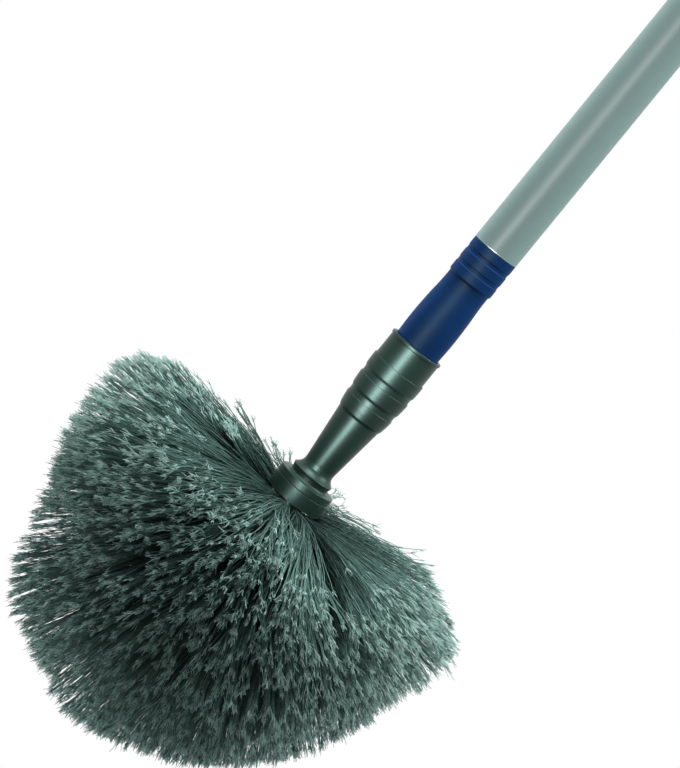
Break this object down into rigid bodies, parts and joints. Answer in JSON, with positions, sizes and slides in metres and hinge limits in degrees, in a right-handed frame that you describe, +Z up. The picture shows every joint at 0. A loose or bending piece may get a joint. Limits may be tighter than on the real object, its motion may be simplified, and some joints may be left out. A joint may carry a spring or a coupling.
{
  "type": "cobweb brush",
  "caption": "Domed cobweb brush with soft split-tip bristles, pushed on the taper tip of a two-section twist-lock telescopic pole with a grip and a hang hole.",
  "frame": {"origin": "middle of the hang hole in the end cap", "axes": "+Z up along the pole, away from the brush head, which hangs at the bottom; +Y along the hang hole"},
  "size_m": [0.2123, 0.218, 1.1897],
  "materials": {
    "painted_tube": "satin paint on thin metal tube",
    "blue_plastic": "moulded, glossy",
    "dark_plastic": "moulded, glossy, lightly scuffed",
    "grip_rubber": "matt ribbed rubber",
    "steel": "plain",
    "nylon": "natural nylon",
    "bristle_fibre": "soft synthetic fibre with split tips"
  },
  "bodies": {
    "handle": {"outer_tube": "painted_tube", "grip_sleeve": "grip_rubber", "end_cap": "blue_plastic", "lock_base": "blue_plastic", "base_rivets": "steel"},
    "lock_ring": {"wedge_ring": "nylon"},
    "lock_nut": {"lock_nut": "blue_plastic"},
    "inner_pole": {"inner_tube": "painted_tube", "pole_tip": "blue_plastic", "guide_bush": "nylon", "bush_rivet": "steel"},
    "head": {"socket": "dark_plastic", "brush_block": "dark_plastic", "block_screw": "steel", "screw_washer": "steel", "bristle_row_1": "bristle_fibre", "bristle_row_2": "bristle_fibre", "bristle_row_3": "bristle_fibre", "bristle_row_4": "bristle_fibre", "bristle_front": "bristle_fibre"}
  },
  "joints": [
    {"name": "pole_slide", "type": "slide", "parent": "handle", "child": "inner_pole", "axis": [0, 0, -1], "range_m": [-0.24, 0.245]},
    {"name": "head_pull_off", "type": "slide", "parent": "inner_pole", "child": "head", "axis": [0, 0, -1], "range_m": [0, 0.05]},
    {"name": "ring_slide", "type": "slide", "parent": "handle", "child": "lock_ring", "axis": [0, 0, -1], "range_m": [0, 0.00375]},
    {"name": "nut_turn", "type": "hinge", "parent": "lock_ring", "child": "lock_nut", "pos_m": [0, 0, -0.595], "axis": [0, 0, -1], "range_deg": [0, 450]}
  ],
  "couplings": [
    {"joint": "ring_slide", "follows": "nut_turn", "m_per_rad": 0.00047746}
  ]
}
